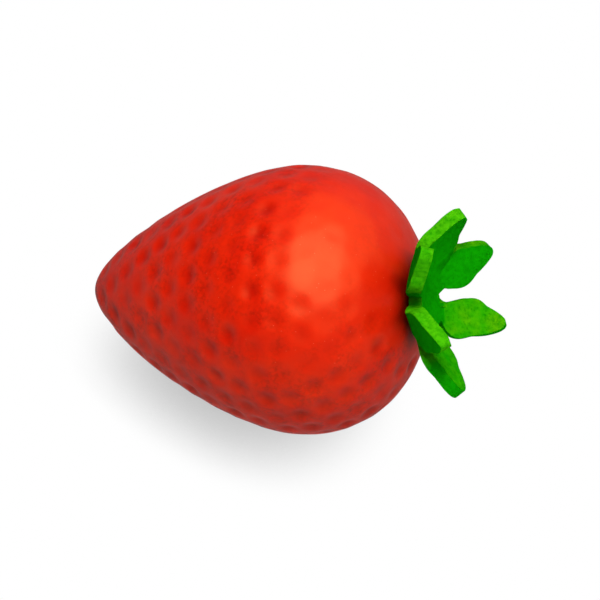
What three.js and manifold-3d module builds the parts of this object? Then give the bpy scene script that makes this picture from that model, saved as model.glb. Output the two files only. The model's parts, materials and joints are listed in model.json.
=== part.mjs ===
// Imitation strawberry: one moulded, gently pointed body lying on a small flat spot, and one
// moulded six-sepal calyx whose peg sits in a blind socket in the body's crown.
// Millimetres, +Z up. The origin is the centre of the resting flat. The body's long axis lies in
// the XZ plane: the tip points to -X and the calyx end rises towards +X.
import * as THREE from 'three';
import { mergeVertices } from 'three/addons/utils/BufferGeometryUtils.js';
import Module from 'manifold-3d';

const wasm = await Module();
wasm.setup();

// Body outline, measured along the axis from the tip and outwards from the axis.
const BODY_LENGTH = 50.0;
const BODY_RADIUS = 19.3;
const WIDEST_FROM_TIP = 32.8;
const TIP_ROUNDNESS = 6.1;
const FLANK_FULLNESS = 10.8;
const SHOULDER_FULLNESS = 14.2;
const CROWN_ROUNDNESS = 4.2;
const CROWN_RADIUS = 2.0;
const BODY_SIDES = 56;
const FLANK_STEPS = 14;
const SHOULDER_STEPS = 12;

// The tip leans a little to one side, as a real berry's does.
const LEAN = 1.37;
const LEAN_FROM_TIP = 34.0;
const LEAN_ROLL = degrees(-37);

// How the body lies: the axis rises by REST_TILT, and the underside is pressed flat.
const REST_TILT = degrees(19.5);
const FLAT_DEPTH = 0.2;
const CUTTER_SIZE = 60.0;
const UNDERSIDE_SAMPLES = 400;

// The blind socket in the crown, the peg in it, and the gap between touching pieces.
const GAP = 0.3;
const SOCKET_RADIUS = 1.6;
const SOCKET_DEPTH = 5.0;
const PEG_CLEARANCE_BELOW = 0.6;
const PEG_SIDES = 24;

// Calyx: a flat hub on a low boss, with six sepals that bend up and away from the body.
const SHEET = 2.0;
const BOSS_HEIGHT = 0.5;
const BOSS_RADIUS = 2.4;
const HUB_RADIUS = 4.15;
const HUB_SIDES = 36;
const HUB_SWELL = 0.1;
const SLOT_WIDTH = 1.3;
const SEPAL_LENGTH = 10.9;
const SEPAL_HALF_WIDTH = 3.2;
const WIDEST_SHARE = 0.43;
const NOTCH_SHARE = 0.65;
const NOTCH_HALF_WIDTH = 2.25;
const TIP_SHARE = 0.955;
const TIP_HALF_WIDTH = 0.7;
const POINT_HALF_WIDTH = 0.35;
const POINT_FULLNESS = 0.5;
const NOTCH_FULLNESS = 2.5;
const TIP_FULLNESS = 1.55;

// How far the sepal's edge runs straight on before and after each of those places, as shares of
// its length.
const STRAIGHT = {
  afterRoot: 0.18,
  beforeWidest: 0.17,
  afterWidest: 0.11,
  beforeNotch: 0.04,
  afterNotch: 0.08,
  beforeTip: 0.1,
  afterTip: 0.025,
};

// Where the sheet bends up, and how finely a sepal is drawn.
const BEND_START = 3.6;
const BEND_LENGTH = 2.2;
const ROOT_INSIDE_HUB = 2.4;
const SECTION_SIDES = 12;
const SECTION_SQUARENESS = 6;
const EDGE_STEPS = 5;
const HUB_MIDDLE = BODY_LENGTH + GAP + BOSS_HEIGHT + SHEET / 2;

// Each sepal: its place around the axis from the top, its rise out of the hub's plane, how much
// more it curls on the way to its tip, its twist about its own length, all in degrees, and its
// length beside the usual.
const SEPALS = [
  { roll: 9, rise: 32, curl: 0, twist: 4, size: 1.03 },
  { roll: 72, rise: 46, curl: 5, twist: 5, size: 1.0 },
  { roll: 132, rise: 31, curl: 1, twist: 3, size: 0.97 },
  { roll: 201, rise: 42, curl: 26, twist: 18, size: 0.97 },
  { roll: 257, rise: 28, curl: 14, twist: -3, size: 0.95 },
  { roll: 315, rise: 29, curl: 20, twist: -15, size: 0.97 },
];

// The last two sepals share a web that keeps the sheet whole between them up to their bellies.
const WEB = { roll: 286, rise: 28, curl: 14, twist: 14, size: 1.0 };
const WEB_HALF_WIDTH = 1.1;
const WEB_LENGTH = 4.4;
const WEB_ROWS = 5;

// Two of the slots between sepals run into the hub, down to a floor at this distance from the axis.
const DEEP_SLOTS = [
  { roll: 229, floor: 2.75 },
  { roll: 40, floor: 3.35 },
];
const DEEP_SLOT_HALF_WIDTH = 0.5;

const RED_PLASTIC = { name: 'red_plastic', color: '#d2280c', roughness: 0.42, metalness: 0 };
const GREEN_FOAM = { name: 'green_foam', color: '#3aa90c', roughness: 0.75, metalness: 0 };

function degrees(angle) {
  return THREE.MathUtils.degToRad(angle);
}

function bezier(...points) {
  return new THREE.CubicBezierCurve(...points.map(([x, y]) => new THREE.Vector2(x, y)));
}

// The outline as (radius, distance from the tip): tip to widest ring, then widest ring to crown.
function bodyOutline() {
  const flank = bezier(
    [0, 0],
    [TIP_ROUNDNESS, 0],
    [BODY_RADIUS, WIDEST_FROM_TIP - FLANK_FULLNESS],
    [BODY_RADIUS, WIDEST_FROM_TIP],
  );
  const shoulder = bezier(
    [BODY_RADIUS, WIDEST_FROM_TIP],
    [BODY_RADIUS, WIDEST_FROM_TIP + SHOULDER_FULLNESS],
    [CROWN_RADIUS + CROWN_ROUNDNESS, BODY_LENGTH],
    [CROWN_RADIUS, BODY_LENGTH],
  );
  return { flank, shoulder };
}

// How far the body's centre line has moved sideways at a distance from the tip.
function leanAt(fromTip) {
  const share = Math.max(0, 1 - fromTip / LEAN_FROM_TIP);
  return LEAN * share * share;
}

// The height of the underside's lowest point, and its place along X, before the body is set down.
function lowestPoint(outline) {
  const places = outline.flank.getPoints(UNDERSIDE_SAMPLES).map(({ x: radius, y: fromTip }) => {
    const below = radius - leanAt(fromTip) * Math.cos(LEAN_ROLL);
    return {
      x: fromTip * Math.cos(REST_TILT) + below * Math.sin(REST_TILT),
      z: fromTip * Math.sin(REST_TILT) - below * Math.cos(REST_TILT),
    };
  });
  return places.reduce((low, place) => (place.z < low.z ? place : low));
}

// The pieces are drawn with their axis along Z, the tip at zero, X towards the top and Y towards
// the front. This matrix lays them down in the part's own frame.
function restingPose(outline) {
  const low = lowestPoint(outline);
  const turned = new THREE.Euler(0, Math.PI / 2 - REST_TILT, Math.PI);
  const pose = new THREE.Matrix4().makeRotationFromEuler(turned);
  return pose.setPosition(-low.x, 0, -low.z - FLAT_DEPTH);
}

function toSolid(geometry) {
  geometry.deleteAttribute('normal');
  geometry.deleteAttribute('uv');
  const merged = mergeVertices(geometry, 1e-4);
  const mesh = new wasm.Mesh({
    numProp: 3,
    vertProperties: merged.attributes.position.array,
    triVerts: Uint32Array.from(merged.index.array),
  });
  return new wasm.Manifold(mesh);
}

function toGeometry(solid) {
  const { vertProperties, triVerts } = solid.getMesh();
  const geometry = new THREE.BufferGeometry();
  geometry.setAttribute('position', new THREE.BufferAttribute(vertProperties, 3));
  geometry.setIndex(new THREE.BufferAttribute(triVerts, 1));
  geometry.computeVertexNormals();
  return geometry;
}

function material(finish) {
  return new THREE.MeshStandardMaterial(finish);
}

// three.js turns about Y and draws cylinders along Y: this stands them along Z.
function alongZ(geometry) {
  return geometry.rotateX(Math.PI / 2);
}

function disc(radius, bottom, top, sides) {
  const geometry = alongZ(new THREE.CylinderGeometry(radius, radius, top - bottom, sides));
  return toSolid(geometry.translate(0, 0, (bottom + top) / 2));
}

// Moves each ring of points sideways, towards the way the tip leans.
function lean(geometry) {
  const places = geometry.attributes.position;
  for (let i = 0; i < places.count; i += 1) {
    const shift = leanAt(places.getZ(i));
    places.setX(i, places.getX(i) + shift * Math.cos(LEAN_ROLL));
    places.setY(i, places.getY(i) + shift * Math.sin(LEAN_ROLL));
  }
  return geometry;
}

function makeBody(outline, pose) {
  const socketFloor = BODY_LENGTH - SOCKET_DEPTH;
  const profile = [
    ...outline.flank.getPoints(FLANK_STEPS),
    ...outline.shoulder.getPoints(SHOULDER_STEPS).slice(1),
    new THREE.Vector2(SOCKET_RADIUS, BODY_LENGTH),
    new THREE.Vector2(SOCKET_RADIUS, socketFloor),
    new THREE.Vector2(0, socketFloor),
  ];
  const turned = alongZ(new THREE.LatheGeometry(profile, BODY_SIDES));
  const whole = toSolid(lean(turned));
  const ground = new THREE.BoxGeometry(CUTTER_SIZE, CUTTER_SIZE, CUTTER_SIZE);
  ground.translate(0, 0, -CUTTER_SIZE / 2);
  ground.applyMatrix4(pose.clone().invert());
  const mesh = new THREE.Mesh(toGeometry(whole.subtract(toSolid(ground))), material(RED_PLASTIC));
  mesh.name = 'body';
  return mesh;
}

// One edge of a flat sepal, from its root to its tip: a narrow root, a full belly, a shallow
// notch and a rounded point. Along is measured from the hub's rim.
function sepalEdge() {
  const rootHalfWidth = (Math.PI * HUB_RADIUS) / SEPALS.length - SLOT_WIDTH / 2;
  const root = [0, rootHalfWidth];
  const widest = [WIDEST_SHARE * SEPAL_LENGTH, SEPAL_HALF_WIDTH];
  const notch = [NOTCH_SHARE * SEPAL_LENGTH, NOTCH_HALF_WIDTH];
  const tip = [TIP_SHARE * SEPAL_LENGTH, TIP_HALF_WIDTH];
  const point = [SEPAL_LENGTH, 0];
  const beside = ([along], share, halfWidth) => [along + share * SEPAL_LENGTH, halfWidth];
  const edge = new THREE.CurvePath();
  edge.add(bezier(
    root,
    beside(root, STRAIGHT.afterRoot, rootHalfWidth),
    beside(widest, -STRAIGHT.beforeWidest, SEPAL_HALF_WIDTH),
    widest,
  ));
  edge.add(bezier(
    widest,
    beside(widest, STRAIGHT.afterWidest, SEPAL_HALF_WIDTH),
    beside(notch, -STRAIGHT.beforeNotch, NOTCH_FULLNESS),
    notch,
  ));
  edge.add(bezier(
    notch,
    beside(notch, STRAIGHT.afterNotch, NOTCH_HALF_WIDTH),
    beside(tip, -STRAIGHT.beforeTip, TIP_FULLNESS),
    tip,
  ));
  edge.add(bezier(
    tip,
    beside(tip, STRAIGHT.afterTip, POINT_FULLNESS),
    beside(point, 0, POINT_HALF_WIDTH),
    point,
  ));
  const inHub = new THREE.Vector2(ROOT_INSIDE_HUB - HUB_RADIUS, rootHalfWidth);
  return [inHub, ...edge.getPoints(EDGE_STEPS).slice(0, -1)];
}

// The web's edge runs straight, from inside the hub to the bottom of the short slot.
function webEdge() {
  const start = ROOT_INSIDE_HUB - HUB_RADIUS;
  const step = (WEB_LENGTH - start) / WEB_ROWS;
  const rows = Array.from({ length: WEB_ROWS + 1 }, (_, row) => start + row * step);
  return rows.map((along) => new THREE.Vector2(along, WEB_HALF_WIDTH));
}

// Follows an arc that starts at a point with a heading and turns steadily along its length.
function followArc({ out, up, heading }, turn, length) {
  const chord = turn === 0 ? length : (length * Math.sin(turn / 2)) / (turn / 2);
  const middle = heading + turn / 2;
  return {
    out: out + chord * Math.cos(middle),
    up: up + chord * Math.sin(middle),
    heading: heading + turn,
  };
}

// Where a sepal's middle line has got to at a distance from the axis, measured along the sheet:
// flat across the hub, a bend up at its rim, then an even curl to the tip.
function alongSepal(distance, { rise, curl }) {
  const free = HUB_RADIUS + SEPAL_LENGTH - BEND_START - BEND_LENGTH;
  const flat = Math.min(distance, BEND_START);
  const bent = THREE.MathUtils.clamp(distance - BEND_START, 0, BEND_LENGTH);
  const curled = Math.max(0, distance - BEND_START - BEND_LENGTH);
  const atRim = followArc({ out: 0, up: 0, heading: 0 }, 0, flat);
  const afterBend = followArc(atRim, degrees(rise) * (bent / BEND_LENGTH), bent);
  return followArc(afterBend, degrees(curl) * (curled / free), curled);
}

// A rounded square's point at an angle, from -1 to 1 each way. The first and last point of a
// ring are one place, so a value that is nearly zero is made exactly zero.
function roundedSquare(angle) {
  const round = (value) => {
    const exact = Math.abs(value) < 1e-6 ? 0 : value;
    return Math.sign(exact) * Math.abs(exact) ** (2 / SECTION_SQUARENESS);
  };
  return { across: round(Math.cos(angle)), through: round(Math.sin(angle)) };
}

// The twist of a sheet about its own length at a distance from the axis: it comes with the bend.
function twistAt(distance, { twist }) {
  const bentShare = THREE.MathUtils.clamp((distance - BEND_START) / BEND_LENGTH, 0, 1);
  return degrees(twist) * bentShare;
}

// A sepal is a cylinder whose rings become rounded rectangles along the bent sheet.
function makeSepal(sepal, edge) {
  const rows = edge.length - 1;
  const geometry = new THREE.CylinderGeometry(1, 1, rows, SECTION_SIDES, rows);
  const places = geometry.attributes.position;
  for (let i = 0; i < places.count; i += 1) {
    const { x: along, y: halfWidth } = edge[Math.round(rows / 2 - places.getY(i))];
    const distance = HUB_RADIUS + Math.max(along, along * sepal.size);
    const onAxis = Math.hypot(places.getX(i), places.getZ(i)) < 0.5;
    const corner = roundedSquare(Math.atan2(places.getZ(i), places.getX(i)));
    const width = onAxis ? 0 : corner.across * halfWidth;
    const height = onAxis ? 0 : (corner.through * SHEET) / 2;
    const middle = alongSepal(distance, sepal);
    const twist = twistAt(distance, sepal);
    const across = width * Math.cos(twist) - height * Math.sin(twist);
    const through = width * Math.sin(twist) + height * Math.cos(twist);
    const out = middle.out - through * Math.sin(middle.heading);
    places.setXYZ(i, out, across, middle.up + through * Math.cos(middle.heading));
  }
  geometry.rotateZ(degrees(sepal.roll));
  return toSolid(geometry.translate(0, 0, HUB_MIDDLE));
}

// What is cut away to run a deep slot into the hub: a round end and a straight channel.
function deepSlot({ roll, floor }) {
  const below = HUB_MIDDLE - SHEET;
  const above = HUB_MIDDLE + SHEET;
  const middle = floor + DEEP_SLOT_HALF_WIDTH;
  const length = HUB_RADIUS + GAP - middle;
  const channel = new THREE.BoxGeometry(length, 2 * DEEP_SLOT_HALF_WIDTH, above - below);
  channel.translate(middle + length / 2, 0, HUB_MIDDLE);
  channel.rotateZ(degrees(roll));
  const place = [middle * Math.cos(degrees(roll)), middle * Math.sin(degrees(roll)), 0];
  const end = disc(DEEP_SLOT_HALF_WIDTH, below, above, PEG_SIDES).translate(place);
  return toSolid(channel).add(end);
}

function makeCalyx() {
  const bossFoot = BODY_LENGTH + GAP;
  const hubFoot = bossFoot + BOSS_HEIGHT;
  const pegRadius = SOCKET_RADIUS - GAP;
  const pegFoot = BODY_LENGTH - SOCKET_DEPTH + PEG_CLEARANCE_BELOW;
  const solids = [
    disc(pegRadius, pegFoot, hubFoot + SHEET / 2, PEG_SIDES),
    disc(BOSS_RADIUS, bossFoot, hubFoot + SHEET / 4, HUB_SIDES),
    disc(HUB_RADIUS, hubFoot - HUB_SWELL, hubFoot + SHEET + HUB_SWELL, HUB_SIDES),
    ...SEPALS.map((sepal) => makeSepal(sepal, sepalEdge())),
    makeSepal(WEB, webEdge()),
  ];
  const whole = solids.reduce((joined, piece) => joined.add(piece));
  const slotted = DEEP_SLOTS.reduce((left, slot) => left.subtract(deepSlot(slot)), whole);
  const mesh = new THREE.Mesh(toGeometry(slotted), material(GREEN_FOAM));
  mesh.name = 'calyx';
  return mesh;
}

const outline = bodyOutline();
const pose = restingPose(outline);
const strawberry = new THREE.Group();
strawberry.add(makeBody(outline, pose), makeCalyx());
strawberry.applyMatrix4(pose);

export default strawberry;
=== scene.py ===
# %% [markdown]
# # An imitation strawberry
#
# The object is a decorative strawberry: a plump, pointed body moulded in satin red plastic with
# rows of shallow dimples where seeds would be, and a star-shaped calyx of thick, matte green foam
# plugged into its crown. It lies on its side on a small flat spot.
#
# This lesson models both pieces the way a modeller would by hand: a turned outline for the body,
# pressed-in dimples by proportional editing, and a calyx that is extruded row by row from its hub.
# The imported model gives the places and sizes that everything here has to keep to.

import json
import math
import random

import bmesh
import bpy
from mathutils import Matrix, Vector
from mathutils.kdtree import KDTree

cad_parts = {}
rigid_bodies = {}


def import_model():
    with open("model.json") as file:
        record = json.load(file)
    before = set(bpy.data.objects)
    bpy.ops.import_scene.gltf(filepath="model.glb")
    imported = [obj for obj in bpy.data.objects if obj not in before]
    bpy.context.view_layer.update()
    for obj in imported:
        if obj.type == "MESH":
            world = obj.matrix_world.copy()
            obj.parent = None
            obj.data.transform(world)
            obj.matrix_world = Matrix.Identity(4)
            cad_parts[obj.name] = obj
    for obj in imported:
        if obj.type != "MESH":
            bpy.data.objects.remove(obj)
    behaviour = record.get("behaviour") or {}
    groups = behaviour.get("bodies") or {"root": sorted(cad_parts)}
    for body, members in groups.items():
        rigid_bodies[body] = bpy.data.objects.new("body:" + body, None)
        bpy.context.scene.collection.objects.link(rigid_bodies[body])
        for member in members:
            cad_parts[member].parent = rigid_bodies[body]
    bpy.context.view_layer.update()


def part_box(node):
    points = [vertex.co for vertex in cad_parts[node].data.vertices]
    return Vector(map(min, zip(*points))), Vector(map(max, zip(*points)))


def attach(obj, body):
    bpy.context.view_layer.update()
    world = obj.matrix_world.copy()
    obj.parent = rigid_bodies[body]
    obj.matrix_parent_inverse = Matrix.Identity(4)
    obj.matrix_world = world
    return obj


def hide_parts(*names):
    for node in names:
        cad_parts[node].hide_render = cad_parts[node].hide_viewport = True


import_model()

# %% [markdown]
# ## Sizes
#
# All lengths are in metres, so a small constant turns millimetres into them. The outline is the
# one that the moulded body has: two smooth curves that meet at the widest ring. The pieces are
# modelled upright, with the body's axis along Z and its tip at the origin, and then laid down.

# %% Driving sizes
MM = 0.001

BODY_LENGTH = 50.0 * MM
BODY_RADIUS = 19.3 * MM
WIDEST_FROM_TIP = 32.8 * MM
TIP_ROUNDNESS = 6.1 * MM
FLANK_FULLNESS = 10.8 * MM
SHOULDER_FULLNESS = 14.2 * MM
CROWN_ROUNDNESS = 4.2 * MM
CROWN_RADIUS = 2.0 * MM
SOCKET_RADIUS = 1.6 * MM
SOCKET_DEPTH = 5.0 * MM
LEAN = 1.37 * MM
LEAN_ROLL = math.radians(-37)
REST_TILT = math.radians(19.5)

print("body", BODY_LENGTH / MM, "mm long and", 2 * BODY_RADIUS / MM, "mm across")

# %% [markdown]
# ## Helpers for working in edit mode
#
# An operator acts on everything that is selected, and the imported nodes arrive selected. So every
# new piece starts from a clean slate, and inside edit mode each step selects what it needs by
# place, as a modeller would click or box-select it. Two places count as one where they are closer
# than a hundredth of a millimetre.

# %% Edit-mode helpers
CLOSE = 0.01 * MM


def start_fresh():
    if bpy.context.object and bpy.context.object.mode != "OBJECT":
        bpy.ops.object.mode_set(mode="OBJECT")
    bpy.ops.object.select_all(action="DESELECT")


def select_where(obj, kind, test):
    """In edit mode, selects just the vertices, edges or faces whose middle passes the test."""
    bpy.ops.mesh.select_mode(type=kind)
    bpy.ops.mesh.select_all(action="DESELECT")
    mesh = bmesh.from_edit_mesh(obj.data)
    elements = {"VERT": mesh.verts, "EDGE": mesh.edges, "FACE": mesh.faces}[kind]
    middle = {
        "VERT": lambda v: v.co,
        "EDGE": lambda e: (e.verts[0].co + e.verts[1].co) / 2,
        "FACE": lambda f: f.calc_center_median(),
    }[kind]
    chosen = [element for element in elements if test(middle(element))]
    for element in chosen:
        element.select = True
    mesh.select_flush_mode()
    bmesh.update_edit_mesh(obj.data)
    return len(chosen)


def apply_modifier(obj, kind, **settings):
    """Adds a modifier with its settings and applies it, as the Apply button would."""
    bpy.context.view_layer.objects.active = obj
    modifier = obj.modifiers.new(kind.title(), kind)
    for name, value in settings.items():
        setattr(modifier, name, value)
    bpy.ops.object.modifier_apply(modifier=modifier.name)


def lay_down(obj, place):
    """Turns an upright piece into its resting pose and bakes that into the mesh."""
    start_fresh()
    obj.select_set(True)
    bpy.context.view_layer.objects.active = obj
    obj.rotation_euler = (0, REST_TILT - math.pi / 2, math.pi)
    obj.location = place
    bpy.ops.object.transform_apply(location=True, rotation=True, scale=True)


# %% [markdown]
# ## Body, step 1: turn the outline
#
# A body like this is round, so it is drawn as half an outline and spun about its axis. The
# outline is a curve with three points, tip, widest ring and crown, whose handles give the full
# shoulders and the straighter flank.

# %% Draw the outline
RINGS_PER_CURVE = 110


def draw_outline():
    start_fresh()
    bpy.ops.curve.primitive_bezier_curve_add(radius=BODY_LENGTH)
    curve = bpy.context.object
    spline = curve.data.splines[0]
    spline.bezier_points.add(1)
    below_widest = (BODY_RADIUS, WIDEST_FROM_TIP - FLANK_FULLNESS)
    above_widest = (BODY_RADIUS, WIDEST_FROM_TIP + SHOULDER_FULLNESS)
    crown_handle = (CROWN_RADIUS + CROWN_ROUNDNESS, BODY_LENGTH)
    points = [
        ((0, 0), (0, 0), (TIP_ROUNDNESS, 0)),
        (below_widest, (BODY_RADIUS, WIDEST_FROM_TIP), above_widest),
        (crown_handle, (CROWN_RADIUS, BODY_LENGTH), (0, BODY_LENGTH)),
    ]
    for point, (before, at, after) in zip(spline.bezier_points, points):
        point.handle_left_type = point.handle_right_type = "FREE"
        point.handle_left = (before[0], 0, before[1])
        point.co = (at[0], 0, at[1])
        point.handle_right = (after[0], 0, after[1])
    curve.data.dimensions = "3D"
    curve.data.resolution_u = RINGS_PER_CURVE
    bpy.ops.object.convert(target="MESH")
    return bpy.context.object


body = draw_outline()
body.name = body.data.name = "moulded_body"
print("outline:", len(body.data.vertices), "points")

# %% Spin it
SPIN_STEPS = 288
ON_THE_LINE = 0.001 * MM


def spin_outline(obj):
    bpy.ops.object.mode_set(mode="EDIT")
    bpy.ops.mesh.select_all(action="SELECT")
    bpy.ops.mesh.spin(steps=SPIN_STEPS, angle=2 * math.pi, center=(0, 0, 0), axis=(0, 0, 1))
    bpy.ops.mesh.select_all(action="SELECT")
    bpy.ops.mesh.remove_doubles(threshold=CLOSE)
    bpy.ops.mesh.normals_make_consistent(inside=False)
    bpy.ops.object.mode_set(mode="OBJECT")


def on_the_line(co):
    return abs(co.y) < ON_THE_LINE and co.x > -ON_THE_LINE


def meridian(obj):
    """The outline, read off one line of the mesh: (distance over the surface, radius, height)."""
    line = [vertex.co for vertex in obj.data.vertices if on_the_line(vertex.co)]
    line = sorted(line, key=lambda co: (co.z, -co.x))
    walked = [0.0]
    for before, after in zip(line, line[1:]):
        walked.append(walked[-1] + (after - before).length)
    return [(distance, co.x, co.z) for distance, co in zip(walked, line)]


spin_outline(body)
outline = meridian(body)
print("turned body:", len(body.data.vertices), "vertices")
print("from tip to crown over the surface:", round(outline[-1][0] / MM, 1), "mm")

# %% [markdown]
# ## Body, step 2: the socket in the crown
#
# The calyx is plugged into a blind hole. The open rim at the crown is extruded inwards to the
# hole's edge, then down to its floor, and filled.

# %% Sink the socket
def on_crown_rim(co):
    return co.z > BODY_LENGTH - CLOSE and co.xy.length < CROWN_RADIUS + CLOSE


def sink_socket(obj):
    start_fresh()
    bpy.context.view_layer.objects.active = obj
    bpy.ops.object.mode_set(mode="EDIT")
    count = select_where(obj, "EDGE", on_crown_rim)
    to_hole = SOCKET_RADIUS / CROWN_RADIUS
    bpy.ops.mesh.extrude_edges_move()
    bpy.ops.transform.resize(value=(to_hole, to_hole, 1), center_override=(0, 0, BODY_LENGTH))
    bpy.ops.mesh.extrude_edges_move(TRANSFORM_OT_translate={"value": (0, 0, -SOCKET_DEPTH)})
    bpy.ops.mesh.edge_face_add()
    bpy.ops.mesh.select_all(action="SELECT")
    bpy.ops.mesh.normals_make_consistent(inside=False)
    bpy.ops.object.mode_set(mode="OBJECT")
    return count


print("crown rim edges:", sink_socket(body))

# %% [markdown]
# ## Body, step 3: the dimples
#
# The dimples sit on rings an even distance apart, measured over the surface, and each ring has as
# many as fit at one spacing, so the pattern stays even from the tip to the shoulder. Neighbouring
# rings are staggered, and the pattern is mirrored about the widest ring, as if two halves of a
# mould met there. The very tip has none, and neither has the spot that the body rests on.

# %% Find the dimples' places
RING_PITCH = 3.73 * MM
RINGS_START = 2.5 * MM
FIRST_RING = 1
LAST_RING = 15
DIMPLE_PITCH = 4.3 * MM
FEWEST_IN_RING = 3
MIRROR_RING = 10
PATTERN_ROLL = math.radians(39)
REST_FROM_TIP = 23.5 * MM
REST_CLEAR_LENGTH = 7.0 * MM
REST_CLEAR_WIDTH = 4.0 * MM


def at_distance(line, distance):
    """The radius and height of the outline at a distance from the tip over the surface."""
    after = next(i for i, entry in enumerate(line) if entry[0] >= distance)
    (d0, r0, z0), (d1, r1, z1) = line[after - 1], line[after]
    share = (distance - d0) / (d1 - d0)
    return r0 + (r1 - r0) * share, z0 + (z1 - z0) * share


def dimple_places(line):
    places = []
    for ring in range(FIRST_RING, LAST_RING + 1):
        radius, height = at_distance(line, RINGS_START + ring * RING_PITCH)
        count = max(FEWEST_IN_RING, round(2 * math.pi * radius / DIMPLE_PITCH))
        step = 2 * math.pi / count
        mirrored = ring if ring <= MIRROR_RING else 2 * MIRROR_RING + 1 - ring
        start = PATTERN_ROLL + (step / 4 if mirrored % 2 else -step / 4)
        for number in range(count):
            roll = start + number * step
            places.append(Vector((radius * math.cos(roll), radius * math.sin(roll), height)))
    return places


def keeps_flat(co):
    """Whether a place is in the patch on the underside that the body rests on."""
    along = (co.z - REST_FROM_TIP) / REST_CLEAR_LENGTH
    across = co.y / REST_CLEAR_WIDTH
    return co.x < 0 and along**2 + across**2 < 1


places = [co for co in dimple_places(outline) if not keeps_flat(co)]
print(len(places), "dimples")

# %% [markdown]
# The shoulder is worn nearly smooth on its upper side, and the rest of the mould is still crisp.
# The wear is a number from 0 to 1 that both the depth of a dimple and the finish follow.

# %% How worn the mould is
WORN_FROM_TIP = (33 * MM, 41 * MM)
WORN_ROLL = math.radians(-15)
WORN_FACING = (-0.35, 0.65)
FAINTEST = 0.2
DEPTH_STEPS = 5


def ramp(value, start, end):
    return min(1, max(0, (value - start) / (end - start)))


def wear(co):
    """How worn the mould is: crisp towards the tip, smooth on the shoulder's upper side."""
    facing = math.cos(math.atan2(co.y, co.x) - WORN_ROLL)
    return ramp(co.z, *WORN_FROM_TIP) * ramp(facing, *WORN_FACING)


def depth_share(co):
    """How deep a dimple still is, in a few even steps, so that like dimples share a pass."""
    return round(DEPTH_STEPS * (1 - (1 - FAINTEST) * wear(co))) / DEPTH_STEPS


print("dimples that are worn:", sum(depth_share(co) < 1 for co in places))

# %% [markdown]
# Each dimple is one vertex pushed in with proportional editing, whose smooth falloff gives a soft
# round hollow. The dimples differ a little from one another, so they are pressed in a few passes
# of different depth. How deep each vertex went and how worn its place is are kept as two
# attributes, which the finish follows: by the depth it paints shade into the dimples.

# %% Press the dimples in
DIMPLE_REACH = 2.1 * MM
DIMPLE_DEPTHS = [0.26 * MM, 0.38 * MM, 0.50 * MM]
DEPTH_SEED = 7


def press(obj, centres, depth):
    bpy.ops.mesh.select_mode(type="VERT")
    bpy.ops.mesh.select_all(action="DESELECT")
    mesh = bmesh.from_edit_mesh(obj.data)
    mesh.verts.ensure_lookup_table()
    for index in centres:
        mesh.verts[index].select = True
    mesh.select_flush_mode()
    bmesh.update_edit_mesh(obj.data)
    bpy.ops.transform.shrink_fatten(
        value=-depth,
        use_proportional_edit=True,
        proportional_edit_falloff="SMOOTH",
        proportional_size=DIMPLE_REACH,
    )


def press_dimples(obj, places):
    tree = KDTree(len(obj.data.vertices))
    for vertex in obj.data.vertices:
        tree.insert(vertex.co, vertex.index)
    tree.balance()
    chance = random.Random(DEPTH_SEED)
    passes = {}
    for place in places:
        depth = chance.choice(DIMPLE_DEPTHS) * depth_share(place)
        passes.setdefault(depth, []).append(tree.find(place)[1])
    bpy.context.view_layer.objects.active = obj
    bpy.ops.object.mode_set(mode="EDIT")
    for depth, centres in sorted(passes.items()):
        press(obj, centres, depth)
    bpy.ops.object.mode_set(mode="OBJECT")
    return passes


def note_for_finish(obj, name, values):
    """Keeps a number from 0 to 1 for each vertex, so that the finish can follow it."""
    noted = obj.data.attributes.new(name, "FLOAT", "POINT")
    for entry, value in zip(noted.data, values):
        entry.value = value


unpressed = [vertex.co.copy() for vertex in body.data.vertices]
pressed = press_dimples(body, places)
deepest = max(DIMPLE_DEPTHS)
moved = [(vertex.co - old).length for vertex, old in zip(body.data.vertices, unpressed)]
note_for_finish(body, "hollow", [distance / deepest for distance in moved])
note_for_finish(body, "wear", [wear(co) for co in unpressed])
print({round(depth / MM, 2): len(centres) for depth, centres in pressed.items()})

# %% [markdown]
# ## Body, step 4: the lean of the tip
#
# A real berry's tip is never quite on its axis, and the mould copies that. Moving the tip with
# proportional editing, with a sharp falloff, carries the flank along smoothly.

# %% Lean the tip
LEAN_REACH = 48 * MM
TIP_SPOT = 0.02 * MM


def lean_tip(obj):
    bpy.context.view_layer.objects.active = obj
    bpy.ops.object.mode_set(mode="EDIT")
    select_where(obj, "VERT", lambda co: co.length < TIP_SPOT)
    shift = (LEAN * math.cos(LEAN_ROLL), LEAN * math.sin(LEAN_ROLL), 0)
    bpy.ops.transform.translate(
        value=shift,
        use_proportional_edit=True,
        proportional_edit_falloff="SHARP",
        proportional_size=LEAN_REACH,
    )
    bpy.ops.object.mode_set(mode="OBJECT")


lean_tip(body)
tip = min(body.data.vertices, key=lambda vertex: vertex.co.z).co
print("tip now at", [round(value / MM, 2) for value in tip])

# %% [markdown]
# ## Body, step 5: lay it down and flatten its resting spot
#
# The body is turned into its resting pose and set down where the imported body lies: its box gives
# the place. Then the sliver below the surface is bisected away and filled, which leaves the small
# flat that it rests on.

# %% Lay the body down
CUT_SNAP = 0.0001 * MM
FACES_DOWN = -0.999


def resting_place(obj):
    """Where the tip has to go for the laid-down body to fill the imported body's box."""
    turn = Matrix.Rotation(math.pi / 2 - REST_TILT, 3, "Y") @ Matrix.Rotation(math.pi, 3, "Z")
    turned = [turn @ vertex.co for vertex in obj.data.vertices]
    low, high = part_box("body")
    return Vector((low.x - min(co.x for co in turned), 0, high.z - max(co.z for co in turned)))


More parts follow.
